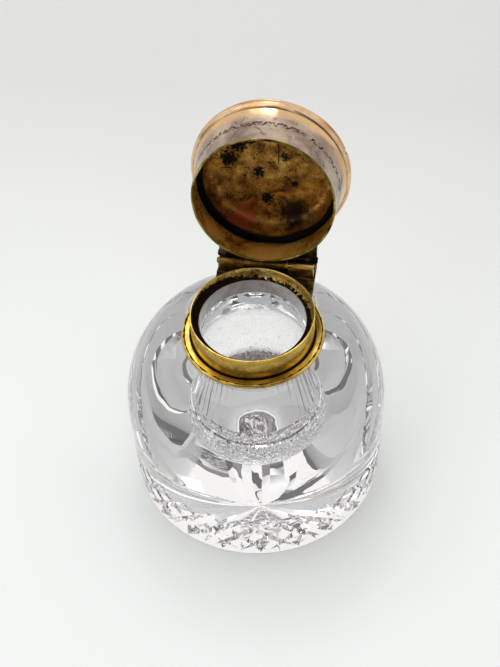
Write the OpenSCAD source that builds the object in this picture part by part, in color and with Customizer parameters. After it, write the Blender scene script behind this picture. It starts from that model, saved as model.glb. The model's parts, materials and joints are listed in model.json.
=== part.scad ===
// Cut crystal inkwell with a gilt brass collar and a hinged, domed lid.
// Millimetres, +Z up. The origin is the middle of the face that the glass stands on.
// The lid is drawn closed and then turned back on its hinge to its open resting place.

/* [Glass body] */
// Widest radius of the glass
belly_r = 47.4; // [46:0.1:50]
// Height of the widest part above the table
belly_z = 36.6; // [32:0.1:42]
// Radius of the foot that stands on the table
foot_r = 46.8; // [44:0.1:47.2]
// Roundness of the shoulder, where 2 is a plain ellipse
shoulder_power = 2.1; // [1.9:0.05:2.4]
// Height of the ledge that the collar sits on
collar_z = 70.8; // [68:0.1:74]
// Radius at which the shoulder meets that ledge
ledge_r = 22; // [21.7:0.1:23]
// Outer radius of the neck
neck_r = 20.4; // [20:0.1:20.8]
// Height of the neck above the ledge
neck_h = 7.2; // [6:0.1:9]
// Radius of the mouth
mouth_r = 18.5; // [17:0.1:18.6]
// Depth of the straight mouth
mouth_h = 6; // [4:0.1:6.5]
// Radius of the ink cavity under the neck
well_r = 20.5; // [19.5:0.1:22]
// Radius of the cavity just above its rounded floor
well_low_r = 19.2; // [18.5:0.1:19.5]
// Height of the cavity floor above the table
well_floor_z = 24; // [18:0.5:32]
// Height over which the cavity's floor curves up into its wall
well_dish_h = 13; // [8:0.5:18]

/* [Glass cutting] */
// Number of grooves that lean each way round the foot
groove_count = 28; // [16:2:36]
// Depth of a groove at its middle
groove_depth = 1.6; // [0.8:0.1:2]
// Height of the middle of the grooves
groove_z = 13; // [12:0.5:18]
// Number of rays in the star under the foot
star_count = 20; // [8:2:32]
// Depth of the star at its middle
star_depth = 3.5; // [2:0.5:11]
// Radius at which the star's rays run out
star_r = 45; // [30:1:46]
// Depth of the short cuts between the star's rays
split_depth = 2.8; // [1:0.1:3.5]
// Radius at which those short cuts are deepest
split_mid_r = 33.5; // [30:0.5:34]

/* [Collar] */
// Outer radius of the upright bezel
bezel_r = 21.6; // [21.4:0.05:22]
// Wall thickness of the bezel
bezel_wall = 0.6; // [0.4:0.05:0.8]
// Height of the bezel above the ledge
bezel_h = 10.7; // [10:0.1:12]
// Inner radius of the hollow ring that covers the glass lip
cove_r = 18.7; // [18.6:0.05:19]
// Thickness of the flat flange
flange_h = 1.55; // [1.2:0.05:1.6]
// Outer radius of the round edge wire of the flange
edge_r = 25; // [24.6:0.1:25.4]
// Radius of that wire
edge_wire_r = 0.85; // [0.6:0.05:0.9]

/* [Lid] */
// Height of the closed lid's edge above the ledge
lid_gap = 1.86; // [1.8:0.02:2.2]
// Outer radius of the skirt at its open edge
skirt_r = 25.1; // [24.8:0.1:25.6]
// Outer radius of the skirt at its top
skirt_top_r = 27.4; // [26.8:0.1:28]
// Height of the skirt
skirt_h = 16.9; // [15:0.1:18]
// Wall thickness of the skirt
skirt_wall = 0.65; // [0.5:0.05:0.8]
// Radius of the thin wire round the open edge
rim_wire_r = 0.45; // [0.3:0.05:0.5]
// Radius of the half round moulding's section
bead_r = 3.2; // [2.8:0.1:3.4]
// How far the moulding stands out from the skirt's top
bead_proud = 1.4; // [0.8:0.1:1.8]
// Height of the moulding's middle above the open edge
bead_h = 19.9; // [19.5:0.1:20.5]
// Height of the middle of the lid's top above the open edge
dome_h = 27; // [26:0.1:30]
// Depth of the liner's step inside the lid
liner_step_h = 13; // [11:0.1:14]
// Depth of the liner's floor inside the lid
liner_floor_h = 22; // [20:0.1:22.4]

/* [Hinge] */
// Distance of the hinge axis behind the middle of the body
hinge_y = 28.45; // [28:0.05:30]
// Height of the hinge axis above the ledge
hinge_h = 5.58; // [5.4:0.02:6]
// Sideways offset of the hinge
hinge_x = 0.7; // [0:0.1:1]
// Half of the hinge's length
hinge_half = 17.9; // [16:0.1:18.5]
// Outer radius of the knuckles
knuckle_r = 1.3; // [1.2:0.05:1.5]
// Half of the lid knuckle's length
lid_knuckle_half = 8; // [6:0.5:10]
// Radius of the hinge pin
pin_r = 0.7; // [0.6:0.05:0.8]
// Running clearance of the lid's knuckle on the pin
pin_clearance = 0.05; // [0.02:0.01:0.08]
// Thickness of the two hinge plates
plate_h = 1.5; // [1.2:0.1:1.6]
// Radius of the rail along the back edge of the lid's plate
rail_r = 1.2; // [1:0.05:1.3]
// How far the lid is turned back from closed
open_angle = 100; // [0:1:100]

/* [Hidden] */
$fn = 96;
eps = 0.01;
// How far a cutting shape runs past the face that it cuts
past = 1;

// Heights worked out from the driving sizes
lip_z = collar_z + neck_h;
bezel_top_z = collar_z + bezel_h;
flange_top_z = collar_z + flange_h;
lid_z = collar_z + lid_gap;
hinge_z = collar_z + hinge_h;

// Glass details
foot_chamfer = 0.8;
lip_chamfer = 0.3;
well_shoulder_h = 3;
dish_power = 2.8;
dish_steps = 12;
side_steps = 6;
shoulder_steps = 20;
groove_slope = 45;
groove_cutter = 8;
groove_cutter_l = 48;
star_cutter = 16;
star_reach = 1.2;
split_reach = 11;

// Collar details
cove_foot_h = 0.4;
cove_steps = 8;
flange_crevice = 0.35;
plate_front_y = 12;

// Lid details
bead_in_r = 25;
liner_wall = 0.6;
liner_r = 24.2;
liner_corner_r = 2.6;
liner_gap = 0.05;
dome_edge_h = 23.4;
dome_wall = 0.8;
dome_skirt_h = 21;
dome_steps = 12;
skirt_steps = 10;
rim_section = 1.4;
skirt_curve = 2.5;
corner_steps = 6;

// Hinge details
leaf_drop = hinge_z - flange_top_z;
stop_r = 1.8;
stop_y = 4.35;
web_front = 1.3;
web_back = 0.9;
reed_r = 0.3;
reed_gap = 0.05;
reed_y = -web_front - reed_r - reed_gap;
knuckle_gap = 0.1;
pin_head_r = 1.05;
pin_head_l = 0.5;
rail_over = 0.4;

// Outline of the glass from the foot up the side to the shoulder's top
side_points = [for (i = [0 : side_steps])
    let (t = i / side_steps)
    [belly_r - (belly_r - foot_r) * pow(1 - t, 2), foot_chamfer + t * (belly_z - foot_chamfer)]];
shoulder_points = [for (i = [1 : shoulder_steps])
    let (u = 90 * i / shoulder_steps)
    [ledge_r + (belly_r - ledge_r) * pow(cos(u), 2 / shoulder_power),
     belly_z + (collar_z - belly_z) * pow(sin(u), 2 / shoulder_power)]];
foot_points = [[0, 0], [foot_r - foot_chamfer, 0]];
neck_points = [[neck_r, collar_z], [neck_r, lip_z - lip_chamfer], [neck_r - lip_chamfer, lip_z],
               [0, lip_z]];

// Heights of the rings that give the skirt its hollow curve, above the open edge
skirt_heights = [for (i = [0 : skirt_steps])
    rim_wire_r * 2 + (skirt_h - rim_wire_r * 2) * i / skirt_steps];

// Outline of a dome from the middle out to radius r
function dome_points(r, edge_h, top_h) =
    [for (i = [0 : dome_steps])
        let (u = 90 * i / dome_steps)
        [r * sin(u), edge_h + (top_h - edge_h) * cos(u)]];

// Outer radius of the lid's skirt at a height h above its open edge
function skirt_radius(h) = skirt_r + (skirt_top_r - skirt_r) * pow(h / skirt_h, skirt_curve);

module at_hinge() {
    translate([hinge_x, hinge_y, hinge_z]) children();
}

module opened() {
    translate([0, hinge_y, hinge_z])
        rotate([-open_angle, 0, 0])
            translate([0, -hinge_y, -hinge_z])
                children();
}

// A rod along X from x0 to x1
module rod(r, x0, x1) {
    translate([x0, 0, 0]) rotate([0, 90, 0]) cylinder(r = r, h = x1 - x0);
}

module well() {
    rotate_extrude()
        polygon(concat([for (i = [0 : dish_steps])
                           let (u = 90 * i / dish_steps)
                           [well_low_r * pow(sin(u), 2 / dish_power),
                            well_floor_z + well_dish_h * (1 - pow(cos(u), 2 / dish_power))]],
                       [[well_r, lip_z - mouth_h - well_shoulder_h],
                        [mouth_r, lip_z - mouth_h], [0, lip_z - mouth_h]]));
}

module groove(lean) {
    translate([0, -belly_r + groove_depth, groove_z])
        rotate([0, lean, 0])
            rotate([-45, 0, 0])
                translate([-groove_cutter_l / 2, -groove_cutter, -groove_cutter])
                    cube([groove_cutter_l, groove_cutter, groove_cutter]);
}

// V cut that is deepest at the middle of the foot and runs out at x = reach
module v_cut(depth, reach) {
    translate([0, 0, depth])
        rotate([0, atan(depth / reach), 0])
            rotate([45, 0, 0])
                translate([0, -star_cutter, -star_cutter])
                    cube([reach * star_reach, star_cutter, star_cutter]);
}

module glass_body() {
    color("aliceblue", 0.5)
        difference() {
            rotate_extrude()
                polygon(concat(foot_points, side_points, shoulder_points, neck_points));
            well();
            translate([0, 0, lip_z - mouth_h - eps]) cylinder(r = mouth_r, h = mouth_h + past);
            for (i = [0 : groove_count - 1], lean = [-groove_slope, groove_slope])
                rotate([0, 0, 360 * i / groove_count]) groove(lean);
            for (i = [0 : star_count - 1])
                rotate([0, 0, 360 * i / star_count]) v_cut(star_depth, star_r);
            for (i = [0 : star_count - 1], turn = [0, 180])
                rotate([0, 0, 360 * (i + 0.5) / star_count])
                    translate([split_mid_r, 0, 0])
                        rotate([0, 0, turn]) v_cut(split_depth, split_reach);
        }
}

// Cement that fills the gap between the glass neck and the bezel
module plaster_ring() {
    color("white")
        difference() {
            translate([0, 0, collar_z]) cylinder(r = bezel_r - bezel_wall, h = neck_h);
            translate([0, 0, collar_z - past]) cylinder(r = neck_r, h = neck_h + 2 * past);
        }
}

module bezel_ring() {
    color("gold")
        difference() {
            translate([0, 0, collar_z]) cylinder(r = bezel_r, h = bezel_h);
            translate([0, 0, collar_z - past])
                cylinder(r = bezel_r - bezel_wall, h = bezel_h + 2 * past);
        }
}

// Hollow ring that runs down from the bezel's top edge to the glass lip
module mouth_cove_ring() {
    cove_out = bezel_r - bezel_wall;
    cove_w = cove_out - cove_r;
    cove_h = bezel_top_z - lip_z - cove_foot_h;
    color("goldenrod")
        rotate_extrude()
            polygon(concat([[cove_out, bezel_top_z], [cove_out, lip_z + eps], [cove_r, lip_z + eps]],
                           [for (i = [0 : cove_steps])
                               let (u = 90 * i / cove_steps)
                               [cove_out - cove_w * cos(u),
                                bezel_top_z - cove_h * (1 - sin(u))]]));
}

module collar_flange() {
    color("gold")
        translate([0, 0, collar_z])
            rotate_extrude()
                polygon([[bezel_r, 0], [edge_r - edge_wire_r, 0], [edge_r - edge_wire_r, flange_h],
                         [bezel_r + flange_crevice, flange_h], [bezel_r, flange_h - flange_crevice]]);
}

// Half round wire soldered round the flange
module collar_edge_wire() {
    color("goldenrod")
        translate([0, 0, collar_z])
            rotate_extrude()
                intersection() {
                    translate([edge_r - edge_wire_r, edge_wire_r]) circle(r = edge_wire_r);
                    translate([edge_r - edge_wire_r, 0]) square([edge_wire_r, edge_wire_r * 2]);
                }
}

module collar_hinge_plate() {
    color("saddlebrown")
        difference() {
            translate([hinge_x - hinge_half, plate_front_y, collar_z])
                cube([hinge_half * 2, hinge_y + stop_y + stop_r - plate_front_y, flange_h]);
            translate([0, 0, collar_z - past]) cylinder(r = edge_r, h = flange_h + 2 * past);
        }
}

// Pair of fine half round beads along the plate in front of the knuckles
module collar_reed_strip() {
    color("peru")
        for (k = [0, 1])
            intersection() {
                translate([hinge_x, hinge_y + reed_y - 2 * reed_r * k, flange_top_z])
                    rod(reed_r, -hinge_half, hinge_half);
                translate([-belly_r, 0, flange_top_z]) cube([belly_r * 2, belly_r, reed_r * 2]);
            }
}

// Half round rail that the open lid leans on
module collar_stop_rail() {
    color("saddlebrown")
        intersection() {
            translate([hinge_x, hinge_y + stop_y, flange_top_z])
                rod(stop_r, -hinge_half, hinge_half);
            translate([-belly_r, 0, flange_top_z]) cube([belly_r * 2, belly_r, stop_r * 2]);
        }
}

// Knuckle of the hinge from x0 to x1, with a foot that goes down to its plate
module knuckle(x0, x1, bore_r) {
    at_hinge()
        difference() {
            union() {
                rod(knuckle_r, x0, x1);
                translate([x0, -web_front, -leaf_drop])
                    cube([x1 - x0, web_front + web_back, leaf_drop]);
            }
            rod(bore_r, x0 - past, x1 + past);
        }
}

module collar_knuckle_left() {
    color("goldenrod")
        knuckle(-hinge_half + pin_head_l, -lid_knuckle_half - knuckle_gap, pin_r);
}

module collar_knuckle_right() {
    color("goldenrod")
        knuckle(lid_knuckle_half + knuckle_gap, hinge_half - pin_head_l, pin_r);
}

// Pin through the three knuckles, with a peened head at each end
module hinge_pin() {
    color("dimgray")
        at_hinge() {
            rod(pin_r, -hinge_half, hinge_half);
            rod(pin_head_r, -hinge_half, -hinge_half + pin_head_l);
            rod(pin_head_r, hinge_half - pin_head_l, hinge_half);
        }
}

// Everything inside the skirt's outer face, for the hinge plate to be cut to
module skirt_outside() {
    translate([0, 0, lid_z])
        rotate_extrude()
            polygon(concat([[0, 0], [skirt_r, 0]],
                           [for (h = skirt_heights) [skirt_radius(h), h]],
                           [[0, skirt_h]]));
}

module lid_skirt() {
    color("rosybrown")
        opened()
            translate([0, 0, lid_z])
                rotate_extrude()
                    polygon(concat([for (h = skirt_heights) [skirt_radius(h), h]],
                                   [[bead_in_r, skirt_h], [bead_in_r, skirt_h - skirt_wall]],
                                   [for (i = [skirt_steps - 1 : -1 : 0])
                                       let (h = skirt_heights[i])
                                       [skirt_radius(h) - skirt_wall, h]]));
}

module lid_rim_wire() {
    color("gold")
        opened()
            translate([0, 0, lid_z + rim_wire_r])
                rotate_extrude()
                    intersection() {
                        translate([skirt_r - rim_wire_r / 2, 0]) circle(r = rim_wire_r * rim_section);
                        translate([skirt_r - skirt_wall, -rim_wire_r])
                            square([skirt_wall * 2, rim_wire_r * 2]);
                    }
}

module lid_bead() {
    color("navajowhite")
        opened()
            translate([0, 0, lid_z])
                rotate_extrude()
                    intersection() {
                        translate([skirt_top_r + bead_proud - bead_r, bead_h]) circle(r = bead_r);
                        translate([bead_in_r, skirt_h]) square([bead_r * 2, bead_r * 2]);
                    }
}

// Domed top, with a short side wall that drops inside the moulding
module lid_top() {
    color("navajowhite")
        opened()
            translate([0, 0, lid_z])
                rotate_extrude()
                    polygon(concat(dome_points(bead_in_r, dome_edge_h, dome_h),
                                   [[bead_in_r, dome_skirt_h],
                                    [bead_in_r - dome_wall, dome_skirt_h]],
                                   [for (i = [dome_steps : -1 : 0])
                                       dome_points(bead_in_r - dome_wall, dome_edge_h,
                                                   dome_h - dome_wall)[i]]));
}

// Dished inner lining, whose rim meets the inside of the skirt
module lid_liner() {
    rim_r = skirt_radius(liner_step_h) - skirt_wall - liner_gap;
    inner_r = liner_r - liner_wall;
    color("darkgoldenrod")
        opened()
            translate([0, 0, lid_z])
                rotate_extrude()
                    polygon(concat([[rim_r, liner_step_h], [rim_r, liner_step_h + liner_wall],
                                    [liner_r, liner_step_h + liner_wall],
                                    [liner_r, liner_floor_h + liner_wall],
                                    [0, liner_floor_h + liner_wall], [0, liner_floor_h]],
                                   [for (i = [0 : corner_steps])
                                       let (u = 90 * i / corner_steps)
                                       [inner_r - liner_corner_r * (1 - sin(u)),
                                        liner_floor_h - liner_corner_r * (1 - cos(u))]],
                                   [[inner_r, liner_step_h]]));
}

module lid_hinge_plate() {
    color("saddlebrown")
        opened()
            difference() {
                translate([hinge_x - hinge_half, plate_front_y, hinge_z + leaf_drop])
                    cube([hinge_half * 2, hinge_y - plate_front_y, plate_h]);
                skirt_outside();
                translate([hinge_x, hinge_y, hinge_z + leaf_drop + plate_h / 2])
                    rod(rail_r, -hinge_half - past, hinge_half + past);
            }
}

// Round rail along the back edge of the lid's plate
module lid_back_rail() {
    color("saddlebrown")
        opened()
            translate([hinge_x, hinge_y, hinge_z + leaf_drop + plate_h / 2])
                rod(rail_r, -hinge_half - rail_over, hinge_half + rail_over);
}

// Middle knuckle, whose foot goes up to the lid's back rail
module lid_knuckle() {
    color("goldenrod")
        opened()
            difference() {
                translate([0, hinge_y, hinge_z])
                    mirror([0, 0, 1])
                        translate([0, -hinge_y, -hinge_z])
                            knuckle(-lid_knuckle_half, lid_knuckle_half, pin_r + pin_clearance);
                translate([hinge_x, hinge_y, hinge_z + leaf_drop + plate_h / 2])
                    rod(rail_r, -hinge_half, hinge_half);
            }
}

glass_body();
plaster_ring();
bezel_ring();
mouth_cove_ring();
collar_flange();
collar_edge_wire();
collar_hinge_plate();
collar_reed_strip();
collar_stop_rail();
collar_knuckle_left();
collar_knuckle_right();
hinge_pin();
lid_skirt();
lid_rim_wire();
lid_bead();
lid_top();
lid_liner();
lid_hinge_plate();
lid_back_rail();
lid_knuckle();
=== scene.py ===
import json
import math

import bmesh
import bpy
import numpy as np
from mathutils import Matrix, Vector, noise

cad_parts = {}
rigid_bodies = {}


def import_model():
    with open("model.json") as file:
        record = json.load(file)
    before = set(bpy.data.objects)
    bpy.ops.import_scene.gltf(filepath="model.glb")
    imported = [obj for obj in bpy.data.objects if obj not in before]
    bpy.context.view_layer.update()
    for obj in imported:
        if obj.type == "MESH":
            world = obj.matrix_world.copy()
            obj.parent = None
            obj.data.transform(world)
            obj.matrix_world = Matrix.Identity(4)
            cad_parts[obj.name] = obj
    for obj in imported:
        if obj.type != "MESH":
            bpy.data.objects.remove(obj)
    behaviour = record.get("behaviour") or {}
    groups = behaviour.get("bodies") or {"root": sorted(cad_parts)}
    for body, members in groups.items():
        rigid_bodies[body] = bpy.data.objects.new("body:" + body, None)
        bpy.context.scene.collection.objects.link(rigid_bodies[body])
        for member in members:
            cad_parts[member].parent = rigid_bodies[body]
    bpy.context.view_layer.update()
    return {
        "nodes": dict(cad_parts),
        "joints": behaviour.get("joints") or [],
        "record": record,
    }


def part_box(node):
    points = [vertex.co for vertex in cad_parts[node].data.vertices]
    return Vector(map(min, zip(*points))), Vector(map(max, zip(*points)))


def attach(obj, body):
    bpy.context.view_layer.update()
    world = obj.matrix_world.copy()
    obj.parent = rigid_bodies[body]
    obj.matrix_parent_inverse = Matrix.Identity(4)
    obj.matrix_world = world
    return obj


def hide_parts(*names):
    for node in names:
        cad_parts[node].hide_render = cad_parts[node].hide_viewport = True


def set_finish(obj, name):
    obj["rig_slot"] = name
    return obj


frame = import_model()
mm = 0.001
tiny = 1e-6
sharpDegrees = 35
nodes = frame["nodes"]
print("stage: frame loaded")


def hexColour(code):
    # sRGB hex to the linear colour that the shaders work in
    parts = [int(code[i:i + 2], 16) / 255 for i in (1, 3, 5)]
    return [c / 12.92 if c <= 0.04045 else ((c + 0.055) / 1.055) ** 2.4 for c in parts] + [1.0]


def addNode(material, kind, inputs=None, ramp=None, **settings):
    # one shader node with its settings, inputs and ramp stops; an input is a value, a socket,
    # or a node, whose first output is then taken
    node = material.node_tree.nodes.new("ShaderNode" + kind)
    for name, value in settings.items():
        setattr(node, name, value)
    for socket, value in (inputs or {}).items():
        if isinstance(value, bpy.types.Node):
            value = value.outputs[0]
        if isinstance(value, bpy.types.NodeSocket):
            material.node_tree.links.new(value, node.inputs[socket])
        else:
            node.inputs[socket].default_value = value
    for i, (place, colour) in enumerate(ramp or []):
        stops = node.color_ramp.elements
        stop = stops[i] if i < 2 else stops.new(place)
        stop.position = place
        stop.color = colour
    return node


def newMaterial(name):
    material = bpy.data.materials.new(name)
    material.use_nodes = True
    material.node_tree.nodes.clear()
    return material


def grey(value):
    return [value, value, value, 1.0]


# the hinge turns a closed lid to the open place that the CAD model holds
hingeJoint = next(j for j in frame["joints"] if j["name"] == "lid_hinge")
hingePlace = Vector(hingeJoint["pos_m"])
openTurn = math.radians(max(hingeJoint["range_deg"]))
openLid = (Matrix.Translation(hingePlace) @ Matrix.Rotation(-openTurn, 4, "X")
    @ Matrix.Translation(-hingePlace))
closeLid = openLid.inverted()


def closedExtent(name):
    # outer radius, lowest and highest point in mm of a lid part as it lies on the closed lid
    places = [closeLid @ v.co / mm for v in nodes[name].data.vertices]
    radius = max(math.hypot(p.x, p.y) for p in places)
    return radius, min(p.z for p in places), max(p.z for p in places)


slotOf = {part["node"]: part["material_slot"] for part in frame["record"]["subparts"]}


def declare(piece, body, node):
    # the body that the piece moves with, the solid it stands for and the finish it takes
    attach(piece, body)
    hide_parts(node)
    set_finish(piece, slotOf[node])


def placeMesh(name, bm, smooth=False):
    # the finished bmesh becomes an object of the scene
    mesh = bpy.data.meshes.new(name)
    bm.to_mesh(mesh)
    bm.free()
    if smooth:
        mesh.set_sharp_from_angle(angle=math.radians(sharpDegrees))
    thing = bpy.data.objects.new(name, mesh)
    bpy.context.scene.collection.objects.link(thing)
    return thing


def roundCorners(points, radius):
    # each corner of a closed outline becomes a small arc, as a turned or polished edge has
    steps = 4
    straightEnough = math.radians(20)
    rounded = []
    count = len(points)
    for i in range(count):
        before, here, after = (Vector(points[(i + k) % count]) for k in (-1, 0, 1))
        toBefore, toAfter = (before - here), (after - here)
        turn = math.pi - toBefore.angle(toAfter)
        if here.x < tiny or turn < straightEnough:
            rounded.append(tuple(here))
            continue
        cut = min(radius * math.tan(turn / 2), 0.45 * toBefore.length, 0.45 * toAfter.length)
        start, end = here + toBefore.normalized() * cut, here + toAfter.normalized() * cut
        for k in range(steps + 1):
            t = k / steps
            rounded.append(tuple(start * (1 - t) ** 2 + here * 2 * t * (1 - t) + end * t * t))
    return rounded


def arc(centreX, centreY, radius, startDegrees, endDegrees, steps):
    turns = [math.radians(startDegrees + (endDegrees - startDegrees) * i / steps)
        for i in range(steps + 1)]
    return [(centreX + radius * math.cos(t), centreY + radius * math.sin(t)) for t in turns]


def lathe(name, outline, segments, place=None, shift=None, second=None):
    # turns a closed outline of (radius, height) in mm, drawn anticlockwise; the UV map holds
    # metres round and along the outline, and second picks the stretches of the second finish
    place = place or Matrix.Identity(4)
    shift = shift or (lambda radius, height, angle: (radius, height))
    bm = bmesh.new()
    uvLayer = bm.loops.layers.uv.new("turned")
    rings = []
    along = [0.0]
    count = len(outline)
    for (r0, z0), (r1, z1) in zip(outline, outline[1:] + outline[:1]):
        along.append(along[-1] + math.hypot(r1 - r0, z1 - z0))
    for radius, height in outline:
        if radius < tiny:
            centre = Vector((0, 0, shift(0, height, 0)[1] * mm))
            rings.append([bm.verts.new(place @ centre)])
            continue
        ring = []
        for k in range(segments):
            angle = 2 * math.pi * k / segments
            r, h = shift(radius, height, angle)
            spot = Vector((r * math.cos(angle), r * math.sin(angle), h))
            ring.append(bm.verts.new(place @ (spot * mm)))
        rings.append(ring)
    widest = max(r for r, z in outline)
    for i in range(count):
        low, high = rings[i], rings[(i + 1) % count]
        if len(low) == 1 and len(high) == 1:
            continue
        middle = [(a + b) / 2 for a, b in zip(outline[i], outline[(i + 1) % count])]
        finish = 1 if second and second(*middle) else 0
        for k in range(segments):
            n = (k + 1) % segments
            corners = []
            for ring, row, order in ((low, i, ((k, k), (n, k + 1))),
                                     (high, i + 1, ((n, k + 1), (k, k)))):
                if len(ring) > 1:
                    corners += [(ring[spot], step, row) for spot, step in order]
                else:
                    corners.append((ring[0], k + 0.5, row))
            face = bm.faces.new([c[0] for c in corners])
            face.material_index = finish
            face.smooth = True
            for loop, (_, step, row) in zip(face.loops, corners):
                loop[uvLayer].uv = (2 * math.pi * widest * step / segments * mm, along[row] * mm)
    return placeMesh(name, bm, True)


def slab(name, outline, low, high, place, edge):
    # a flat outline in mm drawn out from low to high, with its sharp edges eased
    bm = bmesh.new()
    rows = [[bm.verts.new((x * mm, y * mm, z * mm)) for x, y in outline] for z in (low, high)]
    count = len(outline)
    for k in range(count):
        n = (k + 1) % count
        bm.faces.new((rows[0][k], rows[0][n], rows[1][n], rows[1][k]))
    bm.faces.new(rows[0][::-1])
    bm.faces.new(rows[1])
    bmesh.ops.recalc_face_normals(bm, faces=bm.faces)
    sharp = [e for e in bm.edges if e.calc_face_angle(0) > math.radians(30)]
    bmesh.ops.bevel(bm, geom=sharp, offset=edge * mm, segments=3, profile=0.5, affect="EDGES",
        clamp_overlap=True)
    bmesh.ops.transform(bm, matrix=place, verts=bm.verts)
    for face in bm.faces:
        face.smooth = True
    return placeMesh(name, bm, True)


def knocked(depth, spacing, seed, both=False):
    # shallow knocks in thin spun metal, depth and spacing in mm
    def shift(radius, height, angle):
        spot = Vector((radius * math.cos(angle), radius * math.sin(angle), height)) / spacing
        push = depth * noise.noise(spot + Vector((seed, seed, 0)))
        return radius + push, height + (push if both else 0)
    return shift


glass = {
    "shoulderPower": 2.1,
    "bellyHeight": 36.6,
    "footRadius": 46.8,
    "footRound": 0.8,
    "ledgeRadius": 22.0,
    "neckRadius": 20.4,
    "mouthRadius": 18.5,
    "mouthDepth": 6.0,
    "wellRadius": 20.5,
    "wellLowRadius": 19.2,
    "wellFloor": 24.0,
    "dishHeight": 13.0,
    "dishPower": 2.8,
    "wellShoulder": 3.0,
    "grooves": 28,
    "grooveDepth": 1.6,
    "grooveHeight": 13.0,
    "segments": 240,
    "wheelLength": 44,
    "wheelSide": 3.2,
    "grooveLean": 45.0,
    "starRays": 20,
    "starDepth": 3.5,
    "starRadius": 45.0,
    "splitDepth": 2.8,
    "splitMiddle": 33.5,
    "splitReach": 11.0,
}


def glassOutline(g):
    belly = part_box("glass_body")[1].x / mm
    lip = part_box("glass_body")[1].z / mm
    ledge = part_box("collar_flange")[0].z / mm
    outside = [(0, 0), (g["footRadius"] - g["footRound"], 0)]
    for i in range(5):
        t = math.radians(90 * i / 4)
        outside.append((g["footRadius"] - g["footRound"] * (1 - math.sin(t)),
            g["footRound"] * (1 - math.cos(t))))
    for i in range(1, 33):
        t = i / 32
        outside.append((belly - (belly - g["footRadius"]) * (1 - t) ** 2,
            g["footRound"] + t * (g["bellyHeight"] - g["footRound"])))
    for i in range(1, 65):
        u = math.radians(90 * i / 64)
        power = 2 / g["shoulderPower"]
        outside.append((g["ledgeRadius"] + (belly - g["ledgeRadius"]) * max(math.cos(u), 0) ** power,
            g["bellyHeight"] + (ledge - g["bellyHeight"]) * math.sin(u) ** power))
    neck = [(g["neckRadius"], ledge), (g["neckRadius"], lip - 0.3), (g["neckRadius"] - 0.3, lip),
        (g["mouthRadius"] + 0.3, lip), (g["mouthRadius"] + 0.1, lip - 0.1),
        (g["mouthRadius"], lip - 0.3), (g["mouthRadius"], lip - g["mouthDepth"])]
    inside = []
    for i in range(1, 13):
        t = math.radians(90 * i / 12)
        step = g["wellRadius"] - g["mouthRadius"]
        inside.append((g["mouthRadius"] + step * math.sin(t),
            lip - g["mouthDepth"] - g["wellShoulder"] * (1 - math.cos(t))))
    for i in range(1, 9):
        top = lip - g["mouthDepth"] - g["wellShoulder"]
        bottom = g["wellFloor"] + g["dishHeight"]
        taper = (g["wellLowRadius"] - g["wellRadius"]) * i / 8
        inside.append((g["wellRadius"] + taper, top + (bottom - top) * i / 8))
    for i in range(1, 40):
        t = math.radians(90 * (1 - i / 40))
        power = 2 / g["dishPower"]
        inside.append((g["wellLowRadius"] * math.sin(t) ** power,
            g["wellFloor"] + g["dishHeight"] * (1 - math.cos(t) ** power)))
    inside.append((0, g["wellFloor"]))
    return outside[:2] + outside[3:], neck, inside


def wedge(bm, length, side, place):
    # square bar along X that lies on one edge, which is what a V-edged wheel takes away
    half = side / math.sqrt(2)
    section = [(0, 0), (-half, half), (-2 * half, 0), (-half, -half)]
    ends = []
    for x in (-length / 2, length / 2):
        ends.append([bm.verts.new(place @ Vector((x, y, z)) * mm) for y, z in section])
    for k in range(4):
        n = (k + 1) % 4
        bm.faces.new((ends[0][k], ends[0][n], ends[1][n], ends[1][k]))
    bm.faces.new(ends[0][::-1])
    bm.faces.new(ends[1])


def makeTool(name, bm):
    bmesh.ops.recalc_face_normals(bm, faces=bm.faces)
    return placeMesh(name, bm)


def cutter(name, places, length, side):
    bm = bmesh.new()
    for place in places:
        wedge(bm, length, side, place)
    return makeTool(name, bm)


def starCutter(g):
    # rays cut by a V-edged wheel meet in one faceted peak, drawn down past the foot's face
    past = 1.0
    half = math.pi / g["starRays"]
    slope = g["starDepth"] / g["starRadius"]
    tip = (g["starDepth"] + past) / slope
    valley = (g["starDepth"] + past) / (math.sin(half) + slope * math.cos(half))
    bm = bmesh.new()
    peak = bm.verts.new((0, 0, g["starDepth"] * mm))
    ring = []
    for i in range(2 * g["starRays"]):
        reach = valley if i % 2 else tip
        ring.append(bm.verts.new((reach * math.cos(i * half) * mm, reach * math.sin(i * half) * mm,
            -past * mm)))
    for k in range(len(ring)):
        bm.faces.new((peak, ring[k], ring[(k + 1) % len(ring)]))
    bm.faces.new(ring[::-1])
    return makeTool("star_tool", bm)


def splitCutter(g):
    # short cuts between the rays, deepest half way along, each a low pyramid on four corners
    past = 0.5
    depth, middle, reach = g["splitDepth"], g["splitMiddle"], g["splitReach"]
    grow = (depth + past) / depth
    bm = bmesh.new()
    for i in range(g["starRays"]):
        turn = Matrix.Rotation(2 * math.pi * (i + 0.5) / g["starRays"], 4, "Z")
        corners = [(middle + reach * grow, 0), (middle, depth + past), (middle - reach * grow, 0),
            (middle, -depth - past)]
        peak = bm.verts.new(turn @ Vector((middle, 0, depth)) * mm)
        base = [bm.verts.new(turn @ Vector((x, y, -past)) * mm) for x, y in corners]
        for k in range(4):
            bm.faces.new((peak, base[k], base[(k + 1) % 4]))
        bm.faces.new(base[::-1])
    return makeTool("split_tool", bm)


def cutAway(piece, tool):
    # what the tool covers is ground out of the piece
    change = piece.modifiers.new("cut", "BOOLEAN")
    change.operation = "DIFFERENCE"
    change.solver = "MANIFOLD"
    change.object = tool
    graph = bpy.context.evaluated_depsgraph_get()
    result = bpy.data.meshes.new_from_object(piece.evaluated_get(graph))
    piece.modifiers.clear()
    piece.data = result
    bpy.data.objects.remove(tool)


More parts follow.
